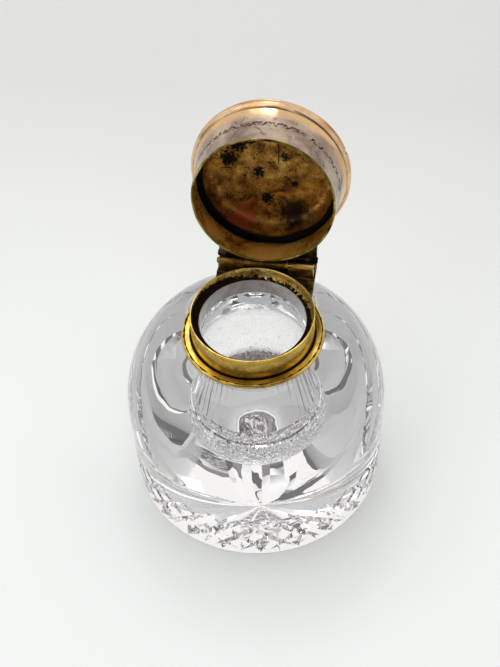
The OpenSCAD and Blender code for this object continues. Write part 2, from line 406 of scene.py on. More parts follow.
def polishNormals(piece, outline):
    # faces on the turned outline shade by the outline's own slope, and the cut facets stay flat
    mesh = piece.data
    points = np.array(outline)
    starts, ends = points[:-1], points[1:]
    spans = ends - starts
    lengths = np.linalg.norm(spans, axis=1)
    keep = lengths > 1e-9
    starts, spans, lengths = starts[keep], spans[keep], lengths[keep]
    slopes = np.stack([spans[:, 1], -spans[:, 0]], 1) / lengths[:, None]
    before = np.vstack([slopes[:1], slopes[:-1]])
    after = np.vstack([slopes[1:], slopes[-1:]])
    bend, sameWay = math.cos(math.radians(30)), math.cos(math.radians(6))
    onLine = 0.08
    first = np.where(((before * slopes).sum(1) > bend)[:, None], before + slopes, slopes)
    last = np.where(((after * slopes).sum(1) > bend)[:, None], after + slopes, slopes)
    first /= np.linalg.norm(first, axis=1)[:, None]
    last /= np.linalg.norm(last, axis=1)[:, None]

    def nearest(rz, wanted=None):
        t = ((rz[:, None] - starts[None]) * spans[None]).sum(2) / lengths[None] ** 2
        t = np.clip(t, 0, 1)
        gap = np.linalg.norm(starts[None] + t[..., None] * spans[None] - rz[:, None], axis=2)
        if wanted is not None:
            gap = gap + 100 * np.abs(np.arange(len(starts))[None] - wanted[:, None]).clip(1, 9) - 100
        best = gap.argmin(1)
        rows = np.arange(len(rz))
        share = t[rows, best][:, None]
        slope = first[best] * (1 - share) + last[best] * share
        return best, gap[rows, best], slope / np.linalg.norm(slope, axis=1)[:, None]

    places = np.empty(len(mesh.vertices) * 3)
    mesh.vertices.foreach_get("co", places)
    places = places.reshape(-1, 3) / mm
    faceCount = len(mesh.polygons)
    faceNormals, centres = np.empty(faceCount * 3), np.empty(faceCount * 3)
    mesh.polygons.foreach_get("normal", faceNormals)
    mesh.polygons.foreach_get("center", centres)
    faceNormals, centres = faceNormals.reshape(-1, 3), centres.reshape(-1, 3) / mm
    radius = np.hypot(centres[:, 0], centres[:, 1])
    segment, gap, slope = nearest(np.stack([radius, centres[:, 2]], 1))
    unit = centres[:, :2] / np.maximum(radius, 1e-9)[:, None]
    expected = np.column_stack([unit * slope[:, :1], slope[:, 1]])
    onOutline = (gap < onLine) & ((expected * faceNormals).sum(1) > sameWay)
    loopFace = np.repeat(np.arange(faceCount), [p.loop_total for p in mesh.polygons])
    loopVert = np.empty(len(mesh.loops), int)
    mesh.loops.foreach_get("vertex_index", loopVert)
    normals = faceNormals[loopFace]
    rows = np.flatnonzero(onOutline[loopFace])
    spots = places[loopVert[rows]]
    far = np.hypot(spots[:, 0], spots[:, 1])
    _, _, slope = nearest(np.stack([far, spots[:, 2]], 1), segment[loopFace[rows]])
    flat = far < tiny
    unit = spots[:, :2] / np.maximum(far, 1e-9)[:, None]
    smooth = np.column_stack([unit * slope[:, :1], slope[:, 1]])
    smooth[flat] = normals[rows][flat]
    normals[rows] = smooth
    mesh.polygons.foreach_set("use_smooth", np.ones(faceCount, bool))
    mesh.normals_split_custom_set(normals.tolist())
    return segment


def buildGlass(g):
    outside, neck, inside = glassOutline(g)
    outline = outside + neck + inside
    body = lathe("crystal_block", outline, g["segments"])
    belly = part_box("glass_body")[1].x / mm
    for lean in (-g["grooveLean"], g["grooveLean"]):
        places = []
        for i in range(g["grooves"]):
            turn = Matrix.Rotation(2 * math.pi * i / g["grooves"], 4, "Z")
            out = Matrix.Translation((0, -belly + g["grooveDepth"], g["grooveHeight"]))
            places.append(turn @ out @ Matrix.Rotation(math.radians(lean), 4, "Y"))
        cutAway(body, cutter("groove_tool", places, g["wheelLength"], g["wheelSide"]))
    cutAway(body, starCutter(g))
    cutAway(body, splitCutter(g))
    segment = polishNormals(body, outline)
    body.data.materials.clear()
    wellFaces = segment >= len(outside) + len(neck) - 1
    body.data.polygons.foreach_set("material_index", wellFaces.astype(int))
    return body


crystalBlock = buildGlass(glass)
declare(crystalBlock, "base", "glass_body")
print("stage: crystal block cut,", len(crystalBlock.data.polygons), "faces")

collar = {
    "bezelWall": 0.6,
    "bezelEdge": 0.22,
    "cementBond": 0.12,
    "coveRadius": 18.7,
    "coveLip": 0.4,
    "flangeHeight": 1.55,
    "crevice": 0.35,
    "wireRadius": 0.85,
    "knockDepth": 0.14,
    "knockSpacing": 13.0,
    "glassGap": 0.02,
    "rimDrop": 0.12,
    "overlap": 0.05,
    "cornerEase": 0.1,
    "segments": 240,
}


def buildCollar(c):
    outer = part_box("bezel_ring")[1].x / mm
    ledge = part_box("bezel_ring")[0].z / mm
    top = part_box("bezel_ring")[1].z / mm
    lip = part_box("glass_body")[1].z / mm
    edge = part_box("collar_edge_wire")[1].x / mm
    inner = outer - c["bezelWall"]
    neck = glass["neckRadius"]
    flangeTop = ledge + c["flangeHeight"]
    around, over, ease = c["segments"], c["overlap"], c["cornerEase"]
    knocks = knocked(c["knockDepth"], c["knockSpacing"], 3)

    steps = 10
    wall = ([(outer, ledge + (top - ledge) * i / steps) for i in range(steps + 1)]
        + [(inner, top - (top - ledge) * i / steps) for i in range(steps + 1)])
    bezel = lathe("spun_bezel", roundCorners(wall, c["bezelEdge"]), around, shift=knocks)
    declare(bezel, "base", "bezel_ring")

    bond = neck - c["cementBond"]
    band = [(bond, ledge + 0.1), (inner, ledge + 0.1), (inner, lip - 0.4), (bond, lip - 0.4)]
    declare(lathe("neck_cement", roundCorners(band, ease), around), "base", "plaster_ring")

    foot = lip + c["glassGap"]
    rimHigh = top - c["rimDrop"]
    width = inner - c["coveRadius"]
    drop = rimHigh - lip - c["coveLip"]
    cove = [(c["coveRadius"], foot), (inner + over, foot), (inner + over, rimHigh)]
    for i in range(1, 17):
        t = math.radians(90 * i / 16)
        cove.append((inner - width * (1 - math.cos(t)), rimHigh - drop * math.sin(t)))
    coveRing = lathe("hollow_mouth_ring", cove, around, shift=knocked(0.08, 4, 8))
    declare(coveRing, "base", "mouth_cove_ring")

    wireMiddle = edge - c["wireRadius"]
    plate = [(outer - 0.2, ledge), (wireMiddle + over, ledge), (wireMiddle + over, flangeTop - over),
        (wireMiddle - 0.35, flangeTop), (outer + c["crevice"], flangeTop),
        (outer - over, flangeTop - c["crevice"])]
    flange = lathe("turned_flange", roundCorners(plate, ease), around, shift=knocked(0.05, 9, 5))
    declare(flange, "base", "collar_flange")

    bow = arc(wireMiddle, ledge + c["wireRadius"], c["wireRadius"], -90, 90, 14)
    section = [(wireMiddle - 0.1, ledge)] + bow + [(wireMiddle - 0.1, ledge + 2 * c["wireRadius"])]
    wire = lathe("edge_wire", section, around, shift=knocked(0.04, 5, 6))
    declare(wire, "base", "collar_edge_wire")


buildCollar(collar)
print("stage: collar spun")

lid = {
    "skirtEdge": 25.1,
    "skirtWall": 0.65,
    "skirtCurve": 2.5,
    "wireRadius": 0.45,
    "beadRadius": 3.2,
    "beadProud": 1.4,
    "beadInner": 25.0,
    "beadHeight": 19.9,
    "seamDegrees": 8.0,
    "seamDepth": 0.22,
    "topEdge": 23.4,
    "topWall": 0.8,
    "topSide": 21.0,
    "linerStep": 13.0,
    "linerFloor": 22.0,
    "linerRadius": 24.2,
    "linerCorner": 3.4,
    "linerWall": 0.6,
    "knockDepth": 0.16,
    "linerKnocks": 0.55,
    "seamWidth": 3.2,
    "nickDegrees": -22,
    "nickDepth": 0.35,
    "nickWidth": 0.02,
    "linerGap": 0.05,
    "rollRadius": 0.45,
    "segments": 280,
    "beadSegments": 360,
    "topSegments": 240,
    "linerSegments": 200,
}


def skirtRadius(height, top, skirtHeight):
    return lid["skirtEdge"] + (top - lid["skirtEdge"]) * (height / skirtHeight) ** lid["skirtCurve"]


def buildLid(c):
    edge = closedExtent("lid_rim_wire")[1]
    skirtTop, _, skirtHigh = closedExtent("lid_skirt")
    skirtHeight = skirtHigh - edge
    dome = closedExtent("lid_top")[2] - edge
    heights = [c["wireRadius"] + (skirtHeight - c["wireRadius"]) * i / 24 for i in range(25)]
    outside = [(skirtRadius(h, skirtTop, skirtHeight), edge + h) for h in heights]
    inside = [(r - c["skirtWall"], z) for r, z in outside[::-1]]
    knocks = knocked(c["knockDepth"], 11, 1)
    skirt = lathe("engraved_skirt", outside + [(c["beadInner"], skirtHigh)] + inside, c["segments"],
        openLid, knocks, lambda r, z: r < skirtRadius(z - edge, skirtTop, skirtHeight) - 0.5)
    declare(skirt, "lid", "lid_skirt")

    middle = c["skirtEdge"] - c["skirtWall"] / 2
    wire = arc(middle, edge + c["wireRadius"], c["wireRadius"], 0, 345, 23)
    declare(lathe("rim_wire", wire, c["segments"], openLid, knocks), "lid", "lid_rim_wire")

    bow = c["beadRadius"]
    centre = skirtTop + c["beadProud"] - bow
    low = math.degrees(math.asin((skirtHeight - c["beadHeight"]) / bow))
    high = math.degrees(math.acos((c["beadInner"] - centre) / bow))
    bead = []
    for r, z in arc(centre, c["beadHeight"], bow, low, high, 64):
        turn = math.degrees(math.atan2(z - c["beadHeight"], r - centre))
        cut = c["seamDepth"] * math.exp(-((turn - c["seamDegrees"]) / c["seamWidth"]) ** 2)
        bead.append((r - cut * (r - centre) / bow, edge + z - cut * (z - c["beadHeight"]) / bow))
    bead.append((c["beadInner"], edge + skirtHeight))
    nickTurn = math.radians(c["nickDegrees"])

    def beadShift(radius, height, angle):
        r, z = knocked(0.1, 9, 2)(radius, height, angle)
        away = ((angle - nickTurn + math.pi) % (2 * math.pi)) - math.pi
        paintedGlow = 0.0 if radius < centre + bow * 0.7 else c["nickDepth"]
        return r - paintedGlow * math.exp(-(away / c["nickWidth"]) ** 2), z

    declare(lathe("half_round_moulding", bead, c["beadSegments"], openLid, beadShift), "lid", "lid_bead")

    crown = []
    for i in range(25):
        t = math.radians(90 * i / 24)
        crown.append((c["beadInner"] * math.cos(t), edge + c["topEdge"]
            + (dome - c["topEdge"]) * math.sin(t)))
    crown[-1] = (0, edge + dome)
    under = [(max(r - c["topWall"], 0), z - c["topWall"]) for r, z in crown[::-1]]
    under[0] = (0, edge + dome - c["topWall"])
    side = [(c["beadInner"] - c["topWall"], edge + c["topSide"]), (c["beadInner"], edge + c["topSide"])]
    declare(lathe("domed_top", under + side + crown, c["topSegments"], openLid,
        knocked(0.12, 12, 7, True)), "lid", "lid_top")

    rim = skirtRadius(c["linerStep"], skirtTop, skirtHeight) - c["skirtWall"] - c["linerGap"]
    inner = c["linerRadius"] - c["linerWall"]
    floor = edge + c["linerFloor"]
    step = edge + c["linerStep"]
    rounds = 14
    dish = [(0, floor)]
    dish += [((inner - c["linerCorner"]) * i / rounds, floor) for i in range(1, rounds)]
    corner = arc(inner - c["linerCorner"], floor - c["linerCorner"], c["linerCorner"], 90, 0, 12)
    dish += corner + [(inner, step + 1.2), (inner - 0.1, step + 0.5), (inner + 0.1, step)]
    roll = arc(rim - c["rollRadius"], step + c["rollRadius"], c["rollRadius"], -90, 90, 8)
    back = [(c["linerRadius"], step + 0.9), (c["linerRadius"], floor + c["linerWall"]),
        (0, floor + c["linerWall"])]
    declare(lathe("dished_lining", dish + roll + back, c["linerSegments"], openLid,
        knocked(c["linerKnocks"], 7, 4, True)), "lid", "lid_liner")


buildLid(lid)
print("stage: lid raised and lined")

hinge = {
    "half": 17.9,
    "offset": 0.7,
    "lidHalf": 8.0,
    "gap": 0.1,
    "knuckleRadius": 1.3,
    "webFront": 1.3,
    "webBack": 0.9,
    "pinRadius": 0.7,
    "headRadius": 1.05,
    "headLength": 0.5,
    "reedRadius": 0.3,
    "reedGap": 0.05,
    "stopRadius": 1.8,
    "railRadius": 1.2,
    "plateHeight": 1.5,
    "plateEase": 0.3,
    "ringEvery": 1.3,
    "ringDepth": 0.16,
    "barrelEase": 0.14,
    "segments": 40,
}
alongX = Matrix.Rotation(math.pi / 2, 4, "Y")
sideOn = Matrix(((0, 0, 1, 0), (1, 0, 0, 0), (0, 1, 0, 0), (0, 0, 0, 1)))


def turnedRod(name, radius, x0, x1, y, z, rings, place=None):
    # a rod along X with eased ends and a turned ring cut near each end
    length = x1 - x0
    side, ends, parts = 0.3, 4, 9
    section = [(0, x0), (radius, x0)]
    depth = hinge["ringDepth"] * min(radius, 1)
    inward = [hinge["ringEvery"] * (i + 0.7) for i in range(rings)]
    near = [x0 + reach for reach in inward]
    far = [x1 - reach for reach in reversed(inward)]
    plain = [x0 + ends + (length - 2 * ends) * i / parts for i in range(1, parts)]
    for x in near:
        section += [(radius, x - side), (radius - depth, x), (radius, x + side)]
    section += [(radius, x) for x in plain]
    for x in far:
        section += [(radius, x - side), (radius - depth, x), (radius, x + side)]
    section += [(radius, x1), (0, x1)]
    spot = Matrix.Translation(Vector((0, y, z)) * mm)
    spun = (place or Matrix.Identity(4)) @ spot @ alongX
    return lathe(name, roundCorners(section, radius * 0.4), hinge["segments"], spun)


def webbed(sign):
    # section of a knuckle: the barrel, and the web that goes to its plate
    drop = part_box("collar_knuckle_left")[0].z / mm - hingePlace.z / mm
    back = math.degrees(math.acos(hinge["webBack"] / hinge["knuckleRadius"]))
    barrel = arc(0, 0, hinge["knuckleRadius"], -back, 180, 24)
    points = barrel + [(-hinge["webFront"], drop), (hinge["webBack"], drop)]
    return [(y, z * sign) for y, z in points]


def buildHinge(c):
    y, z = hingePlace.y / mm, hingePlace.z / mm
    left, right = c["offset"] - c["half"], c["offset"] + c["half"]
    low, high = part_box("collar_hinge_plate")
    flangeTop = high.z / mm
    ease = c["plateEase"]

    def curvedFront(reach, back):
        sides = [math.degrees(math.acos(x / reach)) for x in (right, left)]
        return arc(0, 0, reach, *sides, 24) + [(left, back), (right, back)]

    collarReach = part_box("collar_edge_wire")[1].x / mm
    plate = slab("hinge_plate", curvedFront(collarReach, high.y / mm), low.z / mm, flangeTop,
        Matrix.Identity(4), ease)
    declare(plate, "base", "collar_hinge_plate")
    frontReed = y - c["webFront"] - c["reedRadius"] - c["reedGap"]
    reeds = [turnedRod("reed_" + str(k), c["reedRadius"], left, right,
        frontReed - 2 * c["reedRadius"] * k, flangeTop, 0) for k in (0, 1)]
    for reed in reeds:
        declare(reed, "base", "collar_reed_strip")
    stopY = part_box("collar_stop_rail")[1].y / mm - c["stopRadius"]
    declare(turnedRod("stop_rail", c["stopRadius"], left, right, stopY, flangeTop, 2), "base",
        "collar_stop_rail")

    barrelPlace = Matrix.Translation(hingePlace) @ sideOn
    spans = {
        "collar_knuckle_left": (left + c["headLength"], c["offset"] - c["lidHalf"] - c["gap"]),
        "collar_knuckle_right": (c["offset"] + c["lidHalf"] + c["gap"], right - c["headLength"]),
    }
    for node, (x0, x1) in spans.items():
        barrel = slab(node.replace("collar", "cast"), webbed(1), x0, x1, barrelPlace, c["barrelEase"])
        declare(barrel, "base", node)
    pin = [(0, left), (c["headRadius"], left), (c["headRadius"], left + c["headLength"]),
        (c["pinRadius"], left + c["headLength"]), (c["pinRadius"], right - c["headLength"]),
        (c["headRadius"], right - c["headLength"]), (c["headRadius"], right), (0, right)]
    pinPlace = Matrix.Translation(hingePlace) @ alongX
    declare(lathe("peened_pin", roundCorners(pin, 0.3), c["segments"], pinPlace), "base", "hinge_pin")

    closedPlate = 2 * z - flangeTop
    skirtReach = lid["skirtEdge"] + 0.25
    declare(slab("lid_leaf", curvedFront(skirtReach, y), closedPlate, closedPlate + c["plateHeight"],
        openLid, ease), "lid", "lid_hinge_plate")
    over = 0.4
    declare(turnedRod("lid_rail", c["railRadius"], left - over, right + over, y,
        closedPlate + c["plateHeight"] / 2, 2, openLid), "lid", "lid_back_rail")
    declare(slab("cast_lid_knuckle", webbed(-1)[::-1], c["offset"] - c["lidHalf"],
        c["offset"] + c["lidHalf"], openLid @ barrelPlace, c["barrelEase"]), "lid", "lid_knuckle")


buildHinge(hinge)
print("stage: hinge made")


def agedMetal(name, look):
    # metal with uneven tone, tooling lines and pits, as a material and its open layers
    metal = newMaterial(name)
    spot = addNode(metal, "TexCoord")
    place = spot.outputs["Object"]
    if look.get("lid"):
        place = addNode(metal, "Mapping", {"Location": closeLid.translation,
            "Rotation": closeLid.to_euler(), "Vector": place})
    along, fine = look["lines"]
    scale = (1 / (along * mm), 1 / (fine * mm), 1 / (fine * mm))
    source = spot.outputs["UV"] if look.get("turned") else place
    drawn = addNode(metal, "Mapping", {"Scale": scale, "Vector": source})
    lines = addNode(metal, "TexNoise", {"Scale": 1, "Detail": 3, "Vector": drawn})
    patches = addNode(metal, "TexNoise", {"Scale": 1 / (look["patch"] * mm), "Detail": 6,
        "Roughness": 0.62, "Distortion": 0.5, "Vector": place})
    tones = [(stop, hexColour(code)) for stop, code in zip((0.36, 0.5, 0.64), look["tones"])]
    tone = addNode(metal, "ValToRGB", {"Fac": patches}, ramp=tones)
    shade = addNode(metal, "ValToRGB", {"Fac": lines}, ramp=[(0.3, grey(1 - look["lineTone"])),
        (0.7, grey(1))])
    colour = addNode(metal, "MixRGB", {"Fac": 1, "Color1": tone, "Color2": shade}, blend_type="MULTIPLY")
    smooth, rough = look["roughness"]
    roughness = addNode(metal, "MapRange", {"From Min": 0.35, "From Max": 0.65, "To Min": rough,
        "To Max": smooth, "Value": patches})
    height = addNode(metal, "Math", {1: look["lineDepth"] * mm, 0: lines}, operation="MULTIPLY")
    layers = {"place": place, "uv": spot.outputs["UV"], "colour": colour,
              "roughness": roughness, "height": height}
    pits = addNode(metal, "TexNoise", {"Scale": 1 / (look["pit"] * mm), "Detail": 2, "Vector": place})
    herds = addNode(metal, "TexNoise", {"Scale": 1 / (look["patch"] * 0.7 * mm), "Detail": 2,
        "Vector": place})
    crowd = addNode(metal, "Math", {1: 0.6, 0: herds, 2: pits}, operation="MULTIPLY_ADD")
    start = look["pitStart"]
    mask = addNode(metal, "MapRange", {"From Min": start, "From Max": start + 0.05, "Value": crowd})
    cover(metal, layers, mask, look["pitColour"], 0.6, -look["pitDepth"])
    return metal, layers


def cover(metal, layers, mask, code, roughness, depth):
    # lays tarnish, dirt, a cut, painted shade or a painted highlight over the layers where the mask is 1;
    # depth is in mm
    layers["colour"] = addNode(metal, "MixRGB", {"Color2": hexColour(code), "Fac": mask,
        "Color1": layers["colour"]})
    layers["roughness"] = addNode(metal, "Mix", {3: roughness, 0: mask, 2: layers["roughness"]})
    layers["height"] = addNode(metal, "Math", {1: depth * mm, 0: mask, 2: layers["height"]},
        operation="MULTIPLY_ADD")


def closeMetal(metal, layers, metallic=1.0):
    bump = addNode(metal, "Bump", {"Distance": 1.0, "Height": layers["height"]})
    shader = addNode(metal, "BsdfPrincipled", {"Metallic": metallic, "Base Color": layers["colour"],
        "Roughness": layers["roughness"], "Normal": bump})
    addNode(metal, "OutputMaterial", {"Surface": shader})
    return metal


def ragged(metal, value, place, low, high, size, amount):
    # 0 to 1 as the value goes from low to high, with an edge torn by noise of a size in mm
    tear = addNode(metal, "TexNoise", {"Scale": 1 / (size * mm), "Detail": 4, "Roughness": 0.6,
        "Vector": place})
    middle = addNode(metal, "Math", {1: 0.5, 0: tear}, operation="SUBTRACT")
    torn = addNode(metal, "Math", {1: amount, 0: middle, 2: value}, operation="MULTIPLY_ADD")
    return addNode(metal, "MapRange", {"From Min": low, "From Max": high, "Value": torn})


def patchAt(metal, place, centre, low, high, size, amount):
    # the same torn edge round a place given in mm
    gap = addNode(metal, "VectorMath", {1: [c * mm for c in centre], 0: place},
        operation="DISTANCE").outputs["Value"]
    return ragged(metal, gap, place, low, high, size, amount)


giltLook = {
    "tones": ("#B08C3E", "#DEBA56", "#F8DC78"),
    "patch": 9.0, "lines": (14.0, 0.22), "lineTone": 0.28, "lineDepth": 0.006, "turned": True,
    "roughness": (0.16, 0.3),
    "pit": 0.35, "pitStart": 0.98, "pitColour": "#4A3416", "pitDepth": 0.02,
}


def giltSpunBrass():
    # gilt brass, spun and burnished: warm satin gold with fine lines that run round it and
    # painted shade in the corner at its foot, where the bezel meets the flange
    metal, layers = agedMetal("gilt_brass_spun_and_burnished", giltLook)
    axes = addNode(metal, "SeparateXYZ", {0: layers["place"]}).outputs
    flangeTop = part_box("collar_hinge_plate")[1].z
    # painted shade: a ragged dark brown band at the foot of the bezel, just above the flange top, stands in
    # for shade in that corner
    high = ragged(metal, axes[2], layers["place"], flangeTop + 0.00075, flangeTop + 0.0004, 0.9, 0.0009)
    below = addNode(metal, "MapRange", {"From Min": flangeTop - 0.0006, "From Max": flangeTop - 0.0002,
        "Value": axes[2]})
    corner = addNode(metal, "Math", {0: high, 1: below}, operation="MULTIPLY")
    flat = addNode(metal, "VectorMath", {1: (1, 1, 0), 0: layers["place"]}, operation="MULTIPLY")
    radius = addNode(metal, "VectorMath", {0: flat}, operation="LENGTH")
    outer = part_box("bezel_ring")[1].x
    inside = addNode(metal, "MapRange", {"From Min": outer + 0.0009, "From Max": outer + 0.0005,
        "Value": radius.outputs["Value"]})
    foot = addNode(metal, "Math", {0: corner, 1: inside}, operation="MULTIPLY")
    cover(metal, layers, foot, "#2A1608", 0.7, -0.01)
    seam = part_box("collar_edge_wire")[1].x - 0.0009
    gap = addNode(metal, "Math", {1: seam, 0: radius.outputs["Value"]}, operation="SUBTRACT")
    width = addNode(metal, "Math", {0: gap}, operation="ABSOLUTE")
    line = ragged(metal, width, layers["place"], 0.00032, 0.00018, 1.6, 0.0011)
    cover(metal, layers, line, "#34200C", 0.7, -0.02)
    return closeMetal(metal, layers)


pittedLook = {
    "tones": ("#9C7A38", "#C8A454", "#E6C878"),
    "patch": 5.0, "lines": (2.0, 2.0), "lineTone": 0.3, "lineDepth": 0.03,
    "roughness": (0.28, 0.45),
    "pit": 0.5, "pitStart": 0.9, "pitColour": "#1C130C", "pitDepth": 0.05,
}


def inkEatenGilding():
    # gilding eaten by ink: gold is left along the rim at the back, and under a ragged edge the
    # bare metal is black and rough
    metal, layers = agedMetal("gilt_brass_eaten_by_ink", pittedLook)
    axes = addNode(metal, "SeparateXYZ", {0: layers["place"]}).outputs
    low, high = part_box("mouth_cove_ring")
    climb = addNode(metal, "MapRange", {"From Min": low.z, "From Max": high.z, "Value": axes[2]})
    back = addNode(metal, "MapRange", {"From Min": low.y, "From Max": high.y, "To Min": -0.55,
        "To Max": 0.32, "Value": axes[1]})
    side = addNode(metal, "MapRange", {"From Min": low.x, "From Max": high.x, "To Min": -0.32,
        "To Max": 0.16, "Value": axes[0]})
    total = addNode(metal, "Math", {0: climb, 1: back}, operation="ADD")
    total = addNode(metal, "Math", {0: total, 1: side}, operation="ADD")
    black = ragged(metal, total, layers["place"], 0.5, 0.42, 0.9, 1.1)
    cover(metal, layers, black, "#20150D", 0.62, -0.06)
    return closeMetal(metal, layers)


bronzeLook = {
    "tones": ("#1E1812", "#4A3C28", "#8E7848"),
    "patch": 4.0, "lines": (9.0, 0.5), "lineTone": 0.6, "lineDepth": 0.02,
    "roughness": (0.3, 0.5),
    "pit": 0.5, "pitStart": 0.98, "pitColour": "#18110A", "pitDepth": 0.03,
}


def brownedBrass():
    # cast brass left to go brown: dull, streaked along the bars, with brighter worn patches
    return closeMetal(*agedMetal("cast_brass_browned_with_age", bronzeLook))


knuckleLook = dict(bronzeLook, tones=("#5A4424", "#8E7038", "#C8A050"), lineTone=0.35)


def brassBrightAtRightEnd():
    # brass that turns on its neighbour: brown, with its right-hand end painted bright gold and glossier
    metal, layers = agedMetal("cast_brass_bright_at_right_end", knuckleLook)
    across = addNode(metal, "SeparateXYZ", {0: layers["place"]})
    # everything past about 8 mm right of the middle is painted bright gold, with a ragged edge
    brightRightEnd = ragged(metal, across, layers["place"], 0.0075, 0.0088, 3.0, 0.001)
    cover(metal, layers, brightRightEnd, "#E4C478", 0.24, 0.0)
    return closeMetal(metal, layers)


steelLook = {
    "tones": ("#5C5650", "#7C766E", "#9A948C"),
    "patch": 2.0, "lines": (6.0, 0.3), "lineTone": 0.3, "lineDepth": 0.01,
    "roughness": (0.3, 0.45),
    "pit": 0.4, "pitStart": 0.95, "pitColour": "#2A2018", "pitDepth": 0.02,
}


def peenedSteel():
    # drawn steel wire, hammered over at its ends: grey, dull, with specks of rust
    return closeMetal(*agedMetal("steel_wire_peened", steelLook))


silverLook = {
    "tones": ("#927C70", "#BCA694", "#D6C0A8"),
    "patch": 10.0, "lines": (10.0, 0.5), "lineTone": 0.16, "lineDepth": 0.006, "turned": True,
    "roughness": (0.26, 0.4), "lid": True,
    "pit": 0.5, "pitStart": 1.0, "pitColour": "#4C3A34", "pitDepth": 0.01,
}
scroll = {
    "height": 9.2,
    "swing": 0.95,
    "period": 4.6,
    "waves": ((1, 0, 1), (2, 1.1, 0.9), (3, 2.4, 0.7)),
    "lineWidth": 0.2,
    "cutDepth": 0.05,
    "flare": 2.6,
}


def engravedSilver(s):
    # silver plate worn thin over brass: grey going mauve and tan, with a graver's running
    # scroll whose cuts hold black tarnish
    metal, layers = agedMetal("silver_plate_engraved_and_worn", silverLook)
    along, up = addNode(metal, "SeparateXYZ", {0: layers["uv"]}).outputs[:2]
    middle = addNode(metal, "Math", {1: s["height"] * mm, 0: up}, operation="SUBTRACT")
    closest = None
    for times, phase, reach in s["waves"]:
        turn = addNode(metal, "Math", {1: 2 * math.pi * times / (s["period"] * mm), 2: phase, 0: along},
            operation="MULTIPLY_ADD")
        wave = addNode(metal, "Math", {0: turn}, operation="SINE")
        off = addNode(metal, "Math", {1: -s["swing"] * reach * mm, 0: wave, 2: middle},
            operation="MULTIPLY_ADD")
        gap = addNode(metal, "Math", {0: off}, operation="ABSOLUTE")
        if closest is None:
            closest = gap
        else:
            closest = addNode(metal, "Math", {0: closest, 1: gap}, operation="MINIMUM")
    wear = addNode(metal, "TexNoise", {"Scale": 1 / (1.5 * mm), "Detail": 3, "Vector": layers["place"]})
    reach = addNode(metal, "MapRange", {"From Min": 0.38, "From Max": 0.62, "To Min": 0.0,
        "To Max": s["lineWidth"] * mm * 1.6, "Value": wear})
    cut = addNode(metal, "Math", {0: closest, 1: reach}, operation="LESS_THAN")
    cover(metal, layers, cut, "#3C2C2C", 0.5, -s["cutDepth"])
    smudge = addNode(metal, "TexNoise", {"Scale": 1 / (4.5 * mm), "Detail": 5, "Distortion": 1.2,
        "Vector": layers["place"]})
    dirty = addNode(metal, "MapRange", {"From Min": 0.62, "From Max": 0.72, "To Max": 0.8, "Value": smudge})
    cover(metal, layers, dirty, "#5C4850", 0.45, 0.0)
    flare = addNode(metal, "SeparateXYZ", {0: layers["place"]}).outputs[2]
    high = closedExtent("lid_skirt")[2] - s["flare"]
    gilt = ragged(metal, flare, layers["place"], (high - 1.4) * mm, (high + 0.9) * mm, 3.0, 0.0012)
    cover(metal, layers, gilt, "#DDB788", 0.14, 0.0)
    return closeMetal(metal, layers)


roseLook = {
    "tones": ("#CE9E70", "#DFB88C", "#EDCDA6"),
    "patch": 13.0, "lines": (16.0, 0.4), "lineTone": 0.12, "lineDepth": 0.003, "turned": True,
    "roughness": (0.12, 0.24), "lid": True,
    "pit": 0.4, "pitStart": 1.02, "pitColour": "#6A4630", "pitDepth": 0.02,
}


def roseGilding():
    # pale rose gilding, hand polished: bright and nearly smooth, so it mirrors the room with
    # brown depths and white highlights, and painted shade along the lower edge of the bead
    metal, layers = agedMetal("rose_gilt_hand_polished", roseLook)
    height = addNode(metal, "SeparateXYZ", {0: layers["place"]}).outputs[2]
    joint = closedExtent("lid_bead")[1] * mm
    # painted shade and painted reflection: a ragged brown band along the bead's lower edge, where it meets
    # the skirt
    corner = ragged(metal, height, layers["place"], joint + 0.0008, joint + 0.0001, 2.2, 0.0009)
    cover(metal, layers, corner, "#94704A", 0.3, 0.0)
    return closeMetal(metal, layers)


rimLook = dict(giltLook, tones=("#3C3014", "#84702E", "#C8B068"), patch=6.0, lid=True)


def rubbedGiltWire():
    # gilt wire, rubbed thin by handling: olive gold with brighter rubbed stretches
    return closeMetal(*agedMetal("gilt_wire_rubbed_by_handling", rimLook))


linerLook = {
    "tones": ("#84561E", "#C8923E", "#F2C060"),
    "patch": 5.5, "lines": (0.9, 0.9), "lineTone": 0.35, "lineDepth": 0.09, "lid": True,
    "roughness": (0.34, 0.5),
    "pit": 0.36, "pitStart": 0.885, "pitColour": "#1A0F08", "pitDepth": 0.05,
    "crusts": ((-12.5, -10.5, 5.5), (-8.0, -13.0, 3.5), (-15.5, -3.0, 4.0), (5.0, -5.5, 2.2),
               (-4.5, 1.0, 2.6), (8.5, 5.5, 2.0), (-1.0, 12.5, 2.8)),
    "copper": (-10.5, 20.0, -1.5), "soot": (8.0, 17.5, 0.0), "scratch": (0.0026, -0.0085),
}


